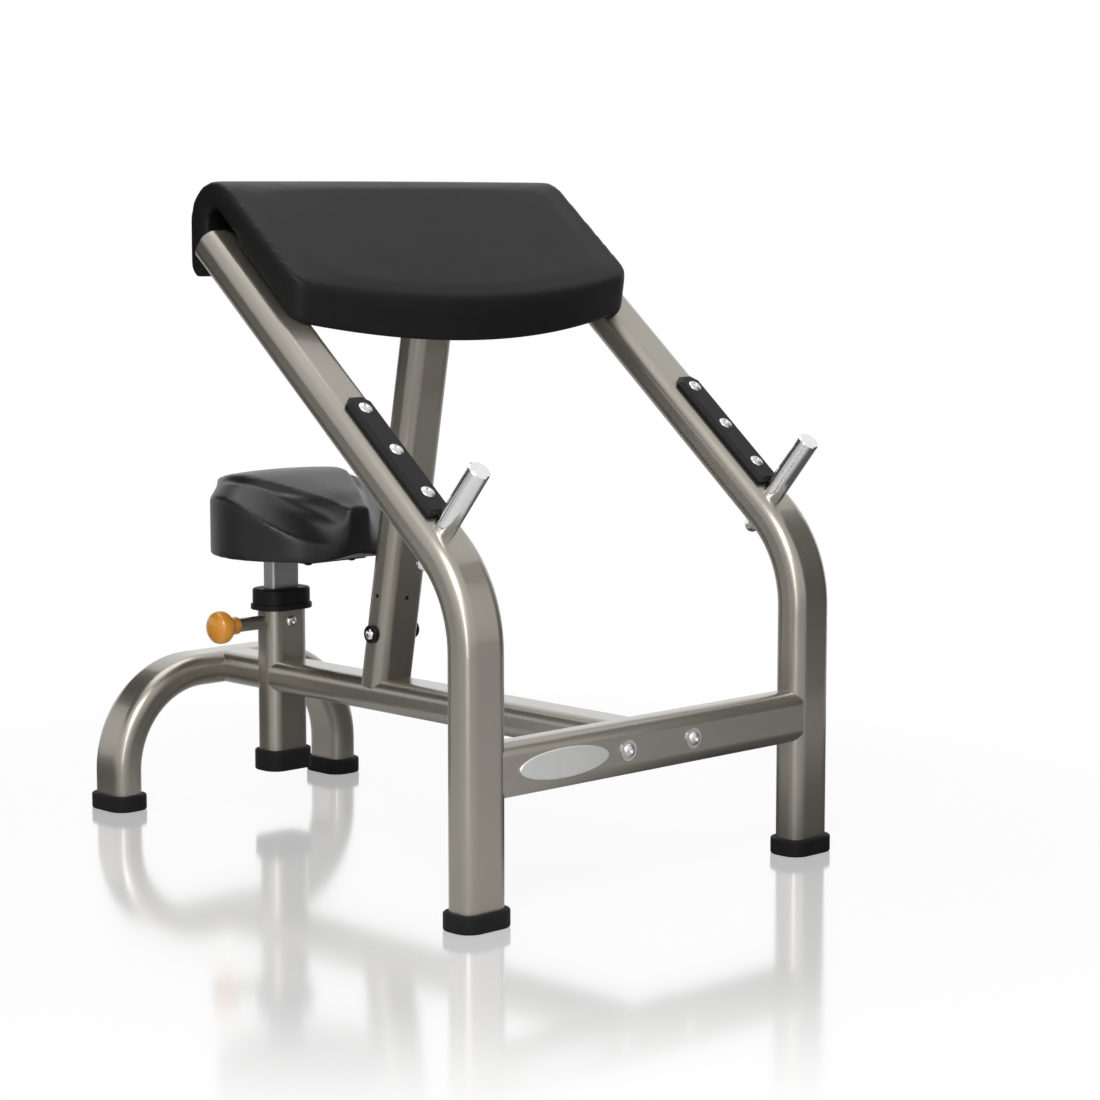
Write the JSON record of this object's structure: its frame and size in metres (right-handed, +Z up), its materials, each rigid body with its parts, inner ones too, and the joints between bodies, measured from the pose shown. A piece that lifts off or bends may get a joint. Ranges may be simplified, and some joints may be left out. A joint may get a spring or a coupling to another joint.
{
  "type": "preacher curl bench",
  "caption": "Preacher curl bench with a bent-tube frame, a sloped arm pad with bar rests, and a padded seat that slides in a sleeve and locks with a pull pin.",
  "frame": {"origin": "on the floor, at the middle of the bench's footprint", "axes": "+X to the right of someone looking from the front legs to the seat, +Y from the front legs to the seat, +Z up"},
  "size_m": [0.7482, 1.0408, 0.996],
  "materials": {
    "frame_paint": "satin metallic powder coat",
    "black_rubber": "matte",
    "black_plastic": "fine grain",
    "bright_chrome": "polished",
    "zinc_steel": "zinc plated",
    "black_steel": "black oxide",
    "satin_steel": "satin",
    "pale_metal": "satin, bare",
    "amber_plastic": "gloss",
    "plywood": "bare plywood",
    "black_vinyl": "fine-grained vinyl",
    "grey_vinyl": "fine-grained vinyl"
  },
  "bodies": {
    "frame": {"arm_pad": "black_vinyl", "arm_pad_board": "plywood", "arm_pad_bolts": "zinc_steel", "badge_plate": "pale_metal", "front_base_rail": "frame_paint", "front_crossmember": "frame_paint", "front_left_foot": "black_rubber", "front_right_foot": "black_rubber", "left_bar_post": "bright_chrome", "left_main_tube": "frame_paint", "left_wear_strip": "black_plastic", "pad_cross_tube": "frame_paint", "pad_side_brackets": "frame_paint", "pad_upright": "frame_paint", "pin_barrel": "frame_paint", "pin_spring": "zinc_steel", "post_dome_nuts": "bright_chrome", "post_washers": "zinc_steel", "rail_bolt_nuts": "zinc_steel", "rail_bolt_washers": "zinc_steel", "rail_bolts": "zinc_steel", "rail_end_plate": "frame_paint", "rear_base_rail": "frame_paint", "rear_foot_arch": "frame_paint", "rear_left_foot": "black_rubber", "rear_right_foot": "black_rubber", "right_bar_post": "bright_chrome", "right_main_tube": "frame_paint", "right_wear_strip": "black_plastic", "seat_sleeve": "frame_paint", "sleeve_bottom_cap": "black_rubber", "sleeve_collar": "black_plastic", "sleeve_guide_bolt": "zinc_steel", "tube_end_plugs": "black_plastic", "upright_bolt": "zinc_steel", "upright_bolt_washers": "black_steel", "upright_dome_nuts": "bright_chrome", "upright_stub": "frame_paint", "wear_strip_bolts": "zinc_steel"},
    "seat": {"seat_post": "satin_steel", "post_glide": "black_plastic", "seat_plate": "black_steel", "seat_board": "plywood", "seat_pad": "grey_vinyl", "seat_bolts": "black_steel"},
    "pull_pin": {"pin_plunger": "zinc_steel", "pin_knob": "amber_plastic"}
  },
  "joints": [
    {"name": "seat_slide", "type": "slide", "parent": "frame", "child": "seat", "axis": [0, 0, 1], "range_m": [0, 0.125]},
    {"name": "pin_pull", "type": "slide", "parent": "frame", "child": "pull_pin", "axis": [-1, 0, 0], "range_m": [-0.012, 0]}
  ]
}
